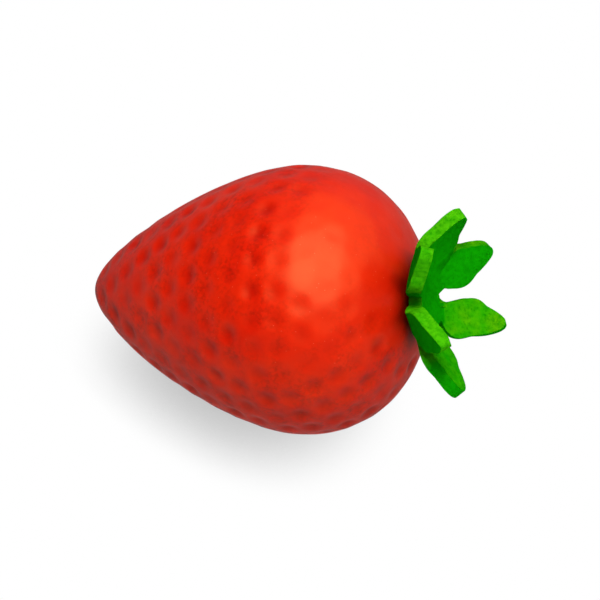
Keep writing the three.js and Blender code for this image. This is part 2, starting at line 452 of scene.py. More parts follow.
def cut_resting_flat(obj):
    """Cuts at the surface. The cut snaps to nearby vertices, so it is told to snap very little."""
    bpy.context.view_layer.objects.active = obj
    bpy.ops.object.mode_set(mode="EDIT")
    bpy.ops.mesh.select_mode(type="FACE")
    bpy.ops.mesh.select_all(action="SELECT")
    bpy.ops.mesh.bisect(
        plane_co=(0, 0, 0),
        plane_no=(0, 0, 1),
        clear_inner=True,
        use_fill=True,
        threshold=CUT_SNAP,
    )
    bpy.ops.object.mode_set(mode="OBJECT")
    return max(face.area for face in obj.data.polygons if face.normal.z < FACES_DOWN)


tip_place = resting_place(body)
lay_down(body, tip_place)
flat_area = cut_resting_flat(body)
print("tip placed at", [round(value / MM, 2) for value in tip_place])
print("resting flat", round(flat_area / MM**2, 1), "square mm")

# %% [markdown]
# ## Calyx, step 1: the star
#
# The calyx is one thick sheet of foam: a round hub with six sepals that bend up at its rim. A
# sheet like this is drawn as a surface without thickness first. The hub is a filled circle, inset
# where the boss and the peg will be. Each sepal is then extruded from its stretch of the rim, row
# by row: every row is moved on along the bend, scaled to the sepal's width there and, in the bend,
# turned a little, because no sepal stands quite square to the hub.

# %% Calyx sizes
SHEET = 2.0 * MM
GAP = 0.3 * MM
BOSS_HEIGHT = 0.5 * MM
BOSS_RADIUS = 2.4 * MM
PEG_RADIUS = SOCKET_RADIUS - GAP
PEG_CLEARANCE_BELOW = 0.6 * MM
HUB_RADIUS = 4.15 * MM
HUB_POINTS = 120
HUB_MIDDLE = BODY_LENGTH + GAP + BOSS_HEIGHT + SHEET / 2
ROOT_HALF_ANGLE = math.radians(21)
SEPAL_LENGTH = 10.9 * MM
BEND_START = 3.6 * MM
BEND_LENGTH = 2.2 * MM

# The outline of a sepal from root to point: the share of its length, and half its width in mm.
SEPAL_OUTLINE = [
    (0.05, 1.53),
    (0.10, 1.62),
    (0.15, 1.84),
    (0.22, 2.32),
    (0.31, 2.90),
    (0.42, 3.22),
    (0.52, 3.08),
    (0.59, 2.66),
    (0.64, 2.30),
    (0.70, 2.16),
    (0.79, 1.84),
    (0.87, 1.46),
    (0.925, 1.12),
    (0.96, 0.86),
    (0.985, 0.56),
    (1.0, 0.22),
]

# The stretch over which a sepal's end is rounded off, as shares of its length.
ROUND_END = (0.95, 1.05)

# Each sepal: its place around the axis from the top, its rise out of the hub's plane, how much
# more it curls on the way to its tip and its twist, all in degrees, and its share of the length.
SEPALS = [
    {"roll": 9, "rise": 32, "curl": 0, "twist": 4, "size": 1.03},
    {"roll": 72, "rise": 46, "curl": 5, "twist": 5, "size": 1.0},
    {"roll": 132, "rise": 31, "curl": 1, "twist": 3, "size": 0.97},
    {"roll": 201, "rise": 42, "curl": 26, "twist": 18, "size": 0.97},
    {"roll": 257, "rise": 28, "curl": 14, "twist": -3, "size": 0.95},
    {"roll": 315, "rise": 29, "curl": 20, "twist": -15, "size": 0.97},
]

print("hub middle at", round(HUB_MIDDLE / MM, 2), "mm,", len(SEPALS), "sepals")

# %% Follow a sepal's bend
STRAIGHT = 1e-6


def follow_arc(out, up, heading, turn, length):
    """Goes on from a point with a heading, turning steadily along the given length."""
    chord = length if abs(turn) < STRAIGHT else length * math.sin(turn / 2) / (turn / 2)
    middle = heading + turn / 2
    return out + chord * math.cos(middle), up + chord * math.sin(middle), heading + turn


def along_sepal(distance, rise, curl):
    """Where the sheet's middle has got to: flat over the hub, a bend at its rim, an even curl."""
    free = HUB_RADIUS + SEPAL_LENGTH - BEND_START - BEND_LENGTH
    bent = min(max(distance - BEND_START, 0), BEND_LENGTH)
    curled = max(0, distance - BEND_START - BEND_LENGTH)
    at_rim = (min(distance, BEND_START), 0, 0)
    after_bend = follow_arc(*at_rim, rise * bent / BEND_LENGTH, bent)
    return follow_arc(*after_bend, curl * curled / free, curled)


for sepal in SEPALS:
    angles = (math.radians(sepal["rise"]), math.radians(sepal["curl"]))
    out, up, _ = along_sepal(HUB_RADIUS + sepal["size"] * SEPAL_LENGTH, *angles)
    print("sepal at", sepal["roll"], "ends", round(out / MM, 1), "mm out,", round(up / MM, 1), "mm up")

# %% Draw the hub
def add_hub():
    start_fresh()
    bpy.ops.mesh.primitive_circle_add(vertices=HUB_POINTS, radius=HUB_RADIUS, fill_type="NGON")
    hub = bpy.context.object
    bpy.ops.object.mode_set(mode="EDIT")
    bpy.ops.mesh.select_mode(type="FACE")
    bpy.ops.mesh.select_all(action="SELECT")
    bpy.ops.mesh.inset(thickness=HUB_RADIUS - BOSS_RADIUS)
    bpy.ops.mesh.inset(thickness=BOSS_RADIUS - PEG_RADIUS)
    return hub


calyx = add_hub()
calyx.name = calyx.data.name = "foam_calyx"
calyx.vertex_groups.new(name="thinned_end")
print("hub", round(2 * HUB_RADIUS / MM, 1), "mm across")

# %% [markdown]
# The whole drawing is turned for each sepal, so that its place on the rim always faces along +X.
# Towards its end a sepal is noted as thinner, in a vertex group, so that the end comes out round.

# %% Extrude the sepals
def turn_drawing(angle):
    """Turns all about the hub's axis. An operator without a window turns backwards."""
    bpy.ops.mesh.select_all(action="SELECT")
    bpy.ops.transform.rotate(value=-angle, orient_axis="Z", center_override=(0, 0, 0))


def on_root(co):
    on_rim = abs(co.xy.length - HUB_RADIUS) < CLOSE
    return on_rim and abs(math.atan2(co.y, co.x)) < ROOT_HALF_ANGLE


def thinning(share):
    """How much thinner the sheet is at a share of a sepal's length: its end is round."""
    return 1 - math.sqrt(1 - ramp(share, *ROUND_END) ** 2)


def twist_row(angle, out, up, heading):
    across = Vector((0, 1, 0))
    ahead = Vector((math.cos(heading), 0, math.sin(heading)))
    bpy.ops.transform.rotate(
        value=-angle,
        orient_axis="X",
        orient_type="GLOBAL",
        orient_matrix=(ahead, across, ahead.cross(across)),
        orient_matrix_type="GLOBAL",
        center_override=(out, 0, up),
    )


def extrude_sepal(obj, rise, curl, twist, size):
    """Extrudes a sepal from the rim at +X. Its first row is straightened, and the rest follow."""
    select_where(obj, "EDGE", on_root)
    out, up, _ = along_sepal(HUB_RADIUS, rise, curl)
    width = HUB_RADIUS * math.sin(ROOT_HALF_ANGLE)
    turned = 0.0
    for row, (share, half_width) in enumerate(SEPAL_OUTLINE):
        distance = HUB_RADIUS + share * size * SEPAL_LENGTH
        new_out, new_up, heading = along_sepal(distance, rise, curl)
        step = (new_out - out, 0, new_up - up)
        bpy.ops.mesh.extrude_edges_move(TRANSFORM_OT_translate={"value": step})
        out, up = new_out, new_up
        if row == 0:
            bpy.ops.transform.resize(value=(0, 1, 1), center_override=(out, 0, up))
        wider = half_width * MM / width
        bpy.ops.transform.resize(value=(1, wider, wider), center_override=(out, 0, up))
        width = half_width * MM
        due = twist * min(1, (distance - BEND_START) / BEND_LENGTH)
        twist_row(due - turned, out, up, heading)
        turned = due
        bpy.context.scene.tool_settings.vertex_group_weight = thinning(share)
        bpy.ops.object.vertex_group_assign()


for sepal in SEPALS:
    roll, rise, curl, twist = (math.radians(sepal[key]) for key in ("roll", "rise", "curl", "twist"))
    turn_drawing(-roll)
    extrude_sepal(calyx, rise, curl, twist, sepal["size"])
    turn_drawing(roll)
print("star:", len(bmesh.from_edit_mesh(calyx.data).verts), "vertices")

# %% [markdown]
# Then the slots between the sepals are finished. Two are run deeper into the hub, which is a pull
# on a short stretch of its rim. Between the last two sepals the sheet stays whole up to their
# widest place, so their facing edges are bridged into a web.

# %% Finish the slots
DEEP_SLOTS = [
    {"roll": 229, "step": 1.4 * MM},
    {"roll": 40, "step": 0.8 * MM},
]
DEEP_SLOT_HALF_WIDTH = 0.5 * MM
WEB_ROLL = math.radians(286)
WEB_FOOT = 4.78 * MM
WEB_FOOT_FILL = 1.02 * WEB_FOOT
WEB_REACH = 8.9 * MM
WEB_HALF_WIDTH = 1.3 * MM


def select_open_edges(obj, out_from, out_to, half_width):
    """In edit mode, selects the sheet's open edges in an oblong on the side of +X."""
    bpy.ops.mesh.select_mode(type="EDGE")
    bpy.ops.mesh.select_all(action="DESELECT")
    mesh = bmesh.from_edit_mesh(obj.data)
    for edge in mesh.edges:
        middle = (edge.verts[0].co + edge.verts[1].co) / 2
        inside = out_from < middle.x < out_to and abs(middle.y) < half_width
        edge.select = edge.is_boundary and inside
    mesh.select_flush_mode()
    bmesh.update_edit_mesh(obj.data)


def deepen_slot(obj, roll, step):
    """Pulls the slot's floor, a stretch of the hub's rim, towards the axis."""
    turn_drawing(-roll)
    select_open_edges(obj, BOSS_RADIUS, HUB_RADIUS, DEEP_SLOT_HALF_WIDTH)
    bpy.ops.transform.translate(value=(-step, 0, 0))
    turn_drawing(roll)


def add_web(obj, roll):
    """Bridges the facing edges of two sepals, then fills what is left between them at the rim."""
    turn_drawing(-roll)
    select_open_edges(obj, WEB_FOOT, WEB_REACH, WEB_HALF_WIDTH)
    bpy.ops.mesh.bridge_edge_loops()
    select_open_edges(obj, BOSS_RADIUS, WEB_FOOT_FILL, WEB_HALF_WIDTH)
    bpy.ops.mesh.edge_face_add()
    turn_drawing(roll)


for slot in DEEP_SLOTS:
    deepen_slot(calyx, math.radians(slot["roll"]), slot["step"])
add_web(calyx, WEB_ROLL)
bpy.ops.object.mode_set(mode="OBJECT")
print("finished star:", len(calyx.data.vertices), "vertices,", len(calyx.data.polygons), "faces")

# %% [markdown]
# ## Calyx, step 2: thickness, boss and peg
#
# Solidify gives the sheet its thickness, half to each side, and keeps it even through the bends.
# It also notes which vertices are on the cut edges. Then the underside's middle is extruded down
# twice: a low boss that stands on the crown, and the peg that sits in the socket.

# %% Give the star its thickness
def extrude_down(obj, radius, foot):
    """Extrudes the underside's flat middle, out to a radius, down to the foot's height."""
    lowest = min(vertex.co.z for vertex in obj.data.vertices if vertex.co.xy.length < radius)
    bpy.ops.object.mode_set(mode="EDIT")
    select_where(obj, "FACE", lambda co: co.z < lowest + CLOSE and co.xy.length < radius)
    down = (0, 0, foot - lowest)
    bpy.ops.mesh.extrude_region_move(TRANSFORM_OT_translate={"value": down})
    bpy.ops.object.mode_set(mode="OBJECT")


calyx.vertex_groups.new(name="cut_edge")
apply_modifier(
    calyx,
    "SOLIDIFY",
    thickness=SHEET,
    offset=0,
    use_even_offset=True,
    use_quality_normals=True,
    vertex_group="thinned_end",
    invert_vertex_group=True,
    rim_vertex_group="cut_edge",
)
boss_foot = -SHEET / 2 - BOSS_HEIGHT
peg_foot = BODY_LENGTH - SOCKET_DEPTH + PEG_CLEARANCE_BELOW - HUB_MIDDLE
extrude_down(calyx, BOSS_RADIUS, boss_foot)
extrude_down(calyx, PEG_RADIUS, peg_foot)
print("peg", round((boss_foot - peg_foot) / MM, 1), "mm long")

# %% [markdown]
# A narrow bevel softens the cut edges, subdivision rounds the whole as foam rounds, and a very
# small displacement takes away its machine-like evenness. The cut edges that lie above and outside
# the hub get painted light, a paler green, and an attribute tells the finish where.

# %% Soften it as foam
ARRIS = 0.3 * MM
ARRIS_SEGMENTS = 2
ARRIS_ANGLE = math.radians(50)
ROUNDING_LEVELS = 2
FOAM_WAVE = 3.0 * MM
FOAM_WAVE_HEIGHT = 0.18 * MM
# Where painted light falls on the cut edges: above the hub's middle and outside its rim.
LIT_EDGE_FROM = (-1.0 * MM, 1.0 * MM)
LIT_EDGE_OUTSIDE = 5.2 * MM
ON_CUT_EDGE = 0.9


def soften(obj):
    apply_modifier(
        obj,
        "BEVEL",
        width=ARRIS,
        segments=ARRIS_SEGMENTS,
        limit_method="ANGLE",
        angle_limit=ARRIS_ANGLE,
    )
    apply_modifier(obj, "SUBSURF", levels=ROUNDING_LEVELS, render_levels=ROUNDING_LEVELS)
    unevenness = bpy.data.textures.new("foam_unevenness", "CLOUDS")
    unevenness.noise_scale = FOAM_WAVE
    apply_modifier(
        obj,
        "DISPLACE",
        texture=unevenness,
        texture_coords="LOCAL",
        strength=FOAM_WAVE_HEIGHT,
        mid_level=0.5,
    )


def cut_edge_shares(obj):
    """How far each vertex is on a cut edge, from 0 to 1."""
    rim = obj.vertex_groups["cut_edge"].index
    weights = [{entry.group: entry.weight for entry in vertex.groups} for vertex in obj.data.vertices]
    return [groups.get(rim, 0.0) for groups in weights]


def open_to_light(co):
    """How far a place on the upright star is above and outside its hub, from 0 to 1."""
    return ramp(co.x, *LIT_EDGE_FROM) * ramp(co.xy.length, HUB_RADIUS, LIT_EDGE_OUTSIDE)


soften(calyx)
cut = cut_edge_shares(calyx)
# Painted light falls on the cut edges above and outside the hub: they get a paler green.
lit_cut_edges = [share * open_to_light(vertex.co) for share, vertex in zip(cut, calyx.data.vertices)]
note_for_finish(calyx, "lit_cut_edges", lit_cut_edges)
calyx.vertex_groups.clear()
on_cut_edges = sum(share > ON_CUT_EDGE for share in cut)
print("calyx:", len(calyx.data.vertices), "vertices,", on_cut_edges, "on cut edges")

# %% [markdown]
# ## Calyx, step 3: on its crown
#
# The star is lifted to its height on the axis and laid down exactly as the body was, so its peg
# runs into the socket. Both pieces are then shaded smooth, and the body's resting flat keeps its
# crisp edge.

# %% Lay the calyx down
FLAT_EDGE = math.radians(35)


def shade(obj, operator, **settings):
    bpy.ops.object.select_all(action="DESELECT")
    obj.select_set(True)
    bpy.context.view_layer.objects.active = obj
    operator(**settings)


calyx.data.transform(Matrix.Translation((0, 0, HUB_MIDDLE)))
lay_down(calyx, tip_place)
for piece in (body, calyx):
    shade(piece, bpy.ops.object.shade_smooth)
shade(body, bpy.ops.object.shade_smooth_by_angle, angle=FLAT_EDGE)
print("calyx from", [round(value / MM, 1) for value in calyx.bound_box[0]])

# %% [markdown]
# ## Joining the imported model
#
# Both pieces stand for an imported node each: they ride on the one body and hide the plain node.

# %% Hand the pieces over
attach(body, "root")
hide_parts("body")
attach(calyx, "root")
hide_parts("calyx")
print("pieces:", body.name, "and", calyx.name)

# %% [markdown]
# ## Material helpers
#
# Colours are written as the hex values that a colour picker shows, and one function makes them
# linear. One small function adds a node, with its settings and its links. A Mix node keeps its
# colour inputs at 6 and 7 and its colour output at 2.

# %% Material helpers
MIX_FIRST = 6
MIX_SECOND = 7
MIX_RESULT = 2


def linear(hex_colour):
    """A colour picker's hex value as linear red, green, blue and alpha."""
    shares = [int(hex_colour[start : start + 2], 16) / 255 for start in (1, 3, 5)]
    curved = [((share + 0.055) / 1.055) ** 2.4 if share > 0.04045 else share / 12.92 for share in shares]
    return (*curved, 1)


def per(size):
    """The scale that makes a pattern repeat about once in a size, in Object coordinates."""
    return 1 / size


def add_node(tree, kind, inputs=None, **settings):
    """Adds a node. Each input gets a constant, or a link where it is given a socket."""
    node = tree.nodes.new(kind)
    for name, value in settings.items():
        setattr(node, name, value)
    for name, value in (inputs or {}).items():
        if isinstance(value, bpy.types.NodeSocket):
            tree.links.new(value, node.inputs[name])
        else:
            node.inputs[name].default_value = value
    return node


def new_material(name):
    material = bpy.data.materials.new(name)
    material.use_nodes = True
    material.node_tree.nodes.clear()
    place = add_node(material.node_tree, "ShaderNodeTexCoord").outputs["Object"]
    return material, material.node_tree, place


print("middle grey is", round(linear("#808080")[0], 3), "when linear")

# %% [markdown]
# ## Red: satin moulded plastic
#
# The body is soft plastic, coloured right through and moulded, with a satin skin. The eye sees a
# broad soft highlight, a paler rim where the skin reflects at a low angle, faint patches where the
# colour lies thinner or thicker, a fine grain from the mould and a few specks of dust. A deeper red
# is painted into the dimples and a dark red into the crevice under the calyx, both as painted shade.

# %% The reds and the sizes of their patterns
RED = "#e82104"
RED_DEEP = "#de1502"
# Painted shade: the deeper red laid into the dimples.
RED_HOLLOW_SHADE = "#be0500"
RED_GRAIN = "#a00602"
# Painted shade: a dark red laid into the crevice under the calyx.
RED_CREVICE_SHADE = "#5a0400"
DUST = "#ffc0a0"
GLOSS_TINT = "#ffe88a"
COLOUR_PATCH = 7.0 * MM
GRAIN_SIZE = 0.6 * MM
GRAIN_PATCH = 4.0 * MM
SKIN_WAVE = 1.3 * MM
DUST_SPACING = 1.0 * MM
DUST_SIZE = 0.075 * MM
# How far the painted shade under the calyx looks for a close surface.
CREVICE_SHADE_REACH = 3.0 * MM

print("the grain is", round(GRAIN_SIZE / MM, 2), "mm wide")

# %% [markdown]
# The colour starts as two reds in faint patches. In a dimple a deeper red is painted in as shade,
# more so the further the surface was pushed in.

# %% Patchy red
PATCH_SHOWS = (0.35, 0.7)
HOLLOW_SHADE_SHOWS = (0.1, 1.0)
HOLLOW_SHADE_STRENGTH = 0.8


def patchy_red(tree, place):
    """Two reds in faint patches, and a deeper one painted into the hollows as shade."""
    patches = add_node(
        tree, "ShaderNodeTexNoise", {"Vector": place, "Scale": per(COLOUR_PATCH), "Detail": 3.0}
    )
    share = add_node(
        tree,
        "ShaderNodeMapRange",
        {"Value": patches.outputs["Fac"], "From Min": PATCH_SHOWS[0], "From Max": PATCH_SHOWS[1]},
    )
    patchy = add_node(
        tree,
        "ShaderNodeMix",
        {0: share.outputs["Result"], MIX_FIRST: linear(RED), MIX_SECOND: linear(RED_DEEP)},
        data_type="RGBA",
    )
    # The dimples get a deeper red as painted shade, by how far each was pushed in.
    hollow = add_node(tree, "ShaderNodeAttribute", attribute_name="hollow")
    deep = add_node(
        tree,
        "ShaderNodeMapRange",
        {
            "Value": hollow.outputs["Fac"],
            "From Min": HOLLOW_SHADE_SHOWS[0],
            "From Max": HOLLOW_SHADE_SHOWS[1],
            "To Max": HOLLOW_SHADE_STRENGTH,
        },
    )
    shaded_hollows = add_node(
        tree,
        "ShaderNodeMix",
        {0: deep.outputs["Result"], MIX_FIRST: patchy.outputs[MIX_RESULT], MIX_SECOND: linear(RED_HOLLOW_SHADE)},
        data_type="RGBA",
    )
    return shaded_hollows.outputs[MIX_RESULT]


print("hollows are", HOLLOW_SHADE_STRENGTH, "of the way to", RED_HOLLOW_SHADE)

# %% [markdown]
# The mould left a dark grain. It shows in some places more than in others, and where the mould is
# worn it is nearly gone.

# %% Grain of the mould
GRAIN_SHOWS = (0.42, 0.75)
GRAIN_STRENGTH = 0.75
GRAIN_PATCH_SHOWS = (0.4, 0.65)
GRAIN_LEFT_BETWEEN = 0.15
GRAIN_LEFT_WHERE_WORN = 0.2


def grain_strength(tree, place):
    """How strongly the dark grain shows: the grain itself, its patches and the wear, multiplied."""
    grain = add_node(
        tree, "ShaderNodeTexNoise", {"Vector": place, "Scale": per(GRAIN_SIZE), "Detail": 6.0}
    )
    dark = add_node(
        tree,
        "ShaderNodeMapRange",
        {
            "Value": grain.outputs["Fac"],
            "From Min": GRAIN_SHOWS[0],
            "From Max": GRAIN_SHOWS[1],
            "To Max": GRAIN_STRENGTH,
        },
    )
    spread = add_node(
        tree, "ShaderNodeTexNoise", {"Vector": place, "Scale": per(GRAIN_PATCH), "Detail": 2.0}
    )
    where = add_node(
        tree,
        "ShaderNodeMapRange",
        {
            "Value": spread.outputs["Fac"],
            "From Min": GRAIN_PATCH_SHOWS[0],
            "From Max": GRAIN_PATCH_SHOWS[1],
            "To Min": GRAIN_LEFT_BETWEEN,
        },
    )
    worn = add_node(tree, "ShaderNodeAttribute", attribute_name="wear")
    crisp = add_node(
        tree,
        "ShaderNodeMapRange",
        {"Value": worn.outputs["Fac"], "To Min": 1.0, "To Max": GRAIN_LEFT_WHERE_WORN},
    )
    strength = dark.outputs["Result"]
    for share in (where, crisp):
        weaker = add_node(
            tree, "ShaderNodeMath", {0: strength, 1: share.outputs["Result"]}, operation="MULTIPLY"
        )
        strength = weaker.outputs["Value"]
    return strength


print("worn places keep", GRAIN_LEFT_WHERE_WORN, "of the grain")

# %% [markdown]
# Over that come painted shade in the crevice under the calyx, which ambient occlusion finds, and a
# few specks of dust, where the surface passes through the middle of a cell of a Voronoi pattern.

# %% The whole of the red
# Painted shade under the calyx: the ambient occlusion it starts and ends at, and how strong it is.
CREVICE_SHADE_SHOWS = (0.9, 0.3)
CREVICE_SHADE_STRENGTH = 0.9
DUST_STRENGTH = 0.45


def red_colour(tree, place):
    """The patchy red with the grain, painted shade under the calyx and the dust laid over it."""
    # Ambient occlusion finds the crevice under the calyx, where shade is painted in.
    openness = add_node(tree, "ShaderNodeAmbientOcclusion", {"Distance": CREVICE_SHADE_REACH}, samples=8)
    crevice_shade = add_node(
        tree,
        "ShaderNodeMapRange",
        {
            "Value": openness.outputs["AO"],
            "From Min": CREVICE_SHADE_SHOWS[0],
            "From Max": CREVICE_SHADE_SHOWS[1],
            "To Max": CREVICE_SHADE_STRENGTH,
        },
    )
    cells = add_node(tree, "ShaderNodeTexVoronoi", {"Vector": place, "Scale": per(DUST_SPACING)})
    speck = add_node(
        tree,
        "ShaderNodeMapRange",
        {
            "Value": cells.outputs["Distance"],
            "From Min": DUST_SIZE / DUST_SPACING,
            "From Max": 0.0,
            "To Max": DUST_STRENGTH,
        },
    )
    layers = [
        (grain_strength(tree, place), RED_GRAIN),
        (crevice_shade.outputs["Result"], RED_CREVICE_SHADE),
        (speck.outputs["Result"], DUST),
    ]
    colour = patchy_red(tree, place)
    for share, over in layers:
        laid = add_node(
            tree,
            "ShaderNodeMix",
            {0: share, MIX_FIRST: colour, MIX_SECOND: linear(over)},
            data_type="RGBA",
        )
        colour = laid.outputs[MIX_RESULT]
    return colour


print("dust specks are", round(2 * DUST_SIZE / MM, 2), "mm across")

# %% [markdown]
# The skin itself is not quite even. A low wave and the grain are bumps too fine to model, and the
# roughness follows the wave. The gloss is tinted a little warm.

# %% Satin moulded red plastic
WAVE_DEPTH = 0.05 * MM
WAVE_STRENGTH = 0.5
GRAIN_DEPTH = 0.02 * MM
GRAIN_BUMP_STRENGTH = 0.4
SATIN_ROUGHNESS = (0.29, 0.38)
PLASTIC_IOR = 1.4


def satin_moulded_plastic():
    material, tree, place = new_material("satin_moulded_red_plastic")
    wave = add_node(
        tree, "ShaderNodeTexNoise", {"Vector": place, "Scale": per(SKIN_WAVE), "Detail": 2.0}
    )
    skin = add_node(
        tree,
        "ShaderNodeBump",
        {"Height": wave.outputs["Fac"], "Strength": WAVE_STRENGTH, "Distance": WAVE_DEPTH},
    )
    grain = add_node(
        tree, "ShaderNodeTexNoise", {"Vector": place, "Scale": per(GRAIN_SIZE / 2), "Detail": 2.0}
    )
    grained = add_node(
        tree,
        "ShaderNodeBump",
        {
            "Height": grain.outputs["Fac"],
            "Strength": GRAIN_BUMP_STRENGTH,
            "Distance": GRAIN_DEPTH,
            "Normal": skin.outputs["Normal"],
        },
    )
    rough = add_node(
        tree,
        "ShaderNodeMapRange",
        {"Value": wave.outputs["Fac"], "To Min": SATIN_ROUGHNESS[0], "To Max": SATIN_ROUGHNESS[1]},
    )
    shader = add_node(
        tree,
        "ShaderNodeBsdfPrincipled",
        {
            "Base Color": red_colour(tree, place),
            "Roughness": rough.outputs["Result"],
            "Normal": grained.outputs["Normal"],
            "IOR": PLASTIC_IOR,
            "Specular Tint": linear(GLOSS_TINT),
        },
    )
    add_node(tree, "ShaderNodeOutputMaterial", {"Surface": shader.outputs["BSDF"]})
    return material


body.data.materials.append(satin_moulded_plastic())
print(body.name, "is", body.data.materials[0].name)

# %% [markdown]
# ## Green: foam rubber
#
# The calyx is soft closed-cell foam, dyed green. It is matte: the cells scatter the light, so
# there is no highlight. Its upward sides and the cut edges above are painted a paler, yellower green
# as painted light, and close up it is mottled and finely pitted. The cells of real foam are finer
# than can be seen here, so they are drawn coarser.

# %% The greens and where light is painted on them
GREEN = "#0ea202"
# Painted light: the paler, yellower green laid on the upward sides.
GREEN_LIT = "#5aae04"
# Painted light: the paler green laid on the cut edges above and outside the hub.
GREEN_LIT_EDGE = "#4cbc0a"
GREEN_DEEP = "#078801"
GREEN_PIT = "#0b6e01"
FOAM_PATCH = 2.2 * MM
MOTTLE_SIZE = 0.7 * MM
CELL_SIZE = 0.32 * MM
FACING_UP = (0.45, 0.95)
LIT_PATCH_SHOWS = (0.35, 0.65)
LIT_LEAST = 0.2


def painted_light_from_above(tree, place):
    """How much painted light a place gets: most on the upward sides, more or less in small patches."""
    # Upward-facing places get painted light, by the height of the object's normal.
    facing = add_node(tree, "ShaderNodeTexCoord")
    parts = add_node(tree, "ShaderNodeSeparateXYZ", {"Vector": facing.outputs["Normal"]})
    upward = add_node(
        tree,
        "ShaderNodeMapRange",
        {"Value": parts.outputs["Z"], "From Min": FACING_UP[0], "From Max": FACING_UP[1]},
        interpolation_type="SMOOTHSTEP",
    )
    patches = add_node(
        tree, "ShaderNodeTexNoise", {"Vector": place, "Scale": per(FOAM_PATCH), "Detail": 6.0}
    )
    uneven = add_node(
        tree,
        "ShaderNodeMapRange",
        {
            "Value": patches.outputs["Fac"],
            "From Min": LIT_PATCH_SHOWS[0],
            "From Max": LIT_PATCH_SHOWS[1],
            "To Min": LIT_LEAST,
        },
    )
    faded = add_node(
        tree,
        "ShaderNodeMath",
        {0: upward.outputs["Result"], 1: uneven.outputs["Result"]},
        operation="MULTIPLY",
    )
    return faded.outputs["Value"]


print("the foam's cells are", round(CELL_SIZE / MM, 2), "mm wide")

# %% [markdown]
# The layers of the green lie over each other: the dyed skin, painted light on its upward sides,
# paler cut edges as painted light, the darker mottling and the dark pits of open cells. Each is a
# colour and the share to mix it in.

# %% The whole of the green
EDGE_STARTS = 0.6
EDGE_STRENGTH = 0.8
MOTTLE_SHOWS = (0.4, 0.7)
MOTTLE_STRENGTH = 0.65
PIT_SHOWS = (0.56, 0.75)
PIT_STRENGTH = 0.6


def foam_colour(tree, place, cells):
    """The dyed skin, painted light on its upward sides and cut edges, darker mottling and dark pits."""
    # Painted light on the cut edges, where the attribute says.
    cut = add_node(tree, "ShaderNodeAttribute", attribute_name="lit_cut_edges")
    edge = add_node(
        tree,
        "ShaderNodeMapRange",
        {"Value": cut.outputs["Fac"], "From Min": EDGE_STARTS, "To Max": EDGE_STRENGTH},
    )
    spots = add_node(
        tree, "ShaderNodeTexNoise", {"Vector": place, "Scale": per(MOTTLE_SIZE), "Detail": 5.0}
    )
    mottle = add_node(
        tree,
        "ShaderNodeMapRange",
        {
            "Value": spots.outputs["Fac"],
            "From Min": MOTTLE_SHOWS[0],
            "From Max": MOTTLE_SHOWS[1],
            "To Max": MOTTLE_STRENGTH,
        },
    )
    pit = add_node(
        tree,
        "ShaderNodeMapRange",
        {
            "Value": cells.outputs["Fac"],
            "From Min": PIT_SHOWS[0],
            "From Max": PIT_SHOWS[1],
            "To Max": PIT_STRENGTH,
        },
    )
    # The first two layers are painted light, on the upward sides and on the cut edges above.
    layers = [
        (painted_light_from_above(tree, place), GREEN_LIT),
        (edge.outputs["Result"], GREEN_LIT_EDGE),
        (mottle.outputs["Result"], GREEN_DEEP),
        (pit.outputs["Result"], GREEN_PIT),
    ]
    colour = linear(GREEN)
    for share, over in layers:
        laid = add_node(
            tree,
            "ShaderNodeMix",
            {0: share, MIX_FIRST: colour, MIX_SECOND: linear(over)},
            data_type="RGBA",
        )
        colour = laid.outputs[MIX_RESULT]
    return colour


print("cut edges are", EDGE_STRENGTH, "of the way to", GREEN_LIT_EDGE)

# %% Matte green foam rubber
PIT_DEPTH = 0.05 * MM
PIT_BUMP_STRENGTH = 0.5
FOAM_ROUGHNESS = 0.85
FOAM_IOR = 1.45


def matte_foam_rubber():
    material, tree, place = new_material("matte_green_foam_rubber")
    cells = add_node(
        tree, "ShaderNodeTexNoise", {"Vector": place, "Scale": per(CELL_SIZE), "Detail": 2.0}
    )
    pits = add_node(
        tree,
        "ShaderNodeBump",
        {"Height": cells.outputs["Fac"], "Strength": PIT_BUMP_STRENGTH, "Distance": PIT_DEPTH},
    )
    shader = add_node(
        tree,
        "ShaderNodeBsdfPrincipled",
        {
            "Base Color": foam_colour(tree, place, cells),
            "Roughness": FOAM_ROUGHNESS,
            "Normal": pits.outputs["Normal"],
            "IOR": FOAM_IOR,
            "Specular IOR Level": 0.0,
        },
    )
    add_node(tree, "ShaderNodeOutputMaterial", {"Surface": shader.outputs["BSDF"]})
    return material


calyx.data.materials.append(matte_foam_rubber())
print(calyx.name, "is", calyx.data.materials[0].name)

# %% [markdown]
# ## The studio: the table
#
# The strawberry lies on a plain white table. To the eye the table glows white, with a soft contact
# shadow painted in by ambient occlusion, leaning to one side as from a light on the other. To the
# strawberry it is a grey surface that bounces light back, and a dim glow in its gloss.

# %% White table
FLOOR_SIZE = 3.0
FLOOR_BOUNCE = "#d9d9d9"
TABLE_IN_GLOSS = 0.2
SHADOW_REACH = 12 * MM
SHADOW_DARKEST = 0.45
SHADOW_STARTS = 0.85
SHADOW_SIDE = (0.55, 0.28, 0.79)
WHITE = (1, 1, 1, 1)


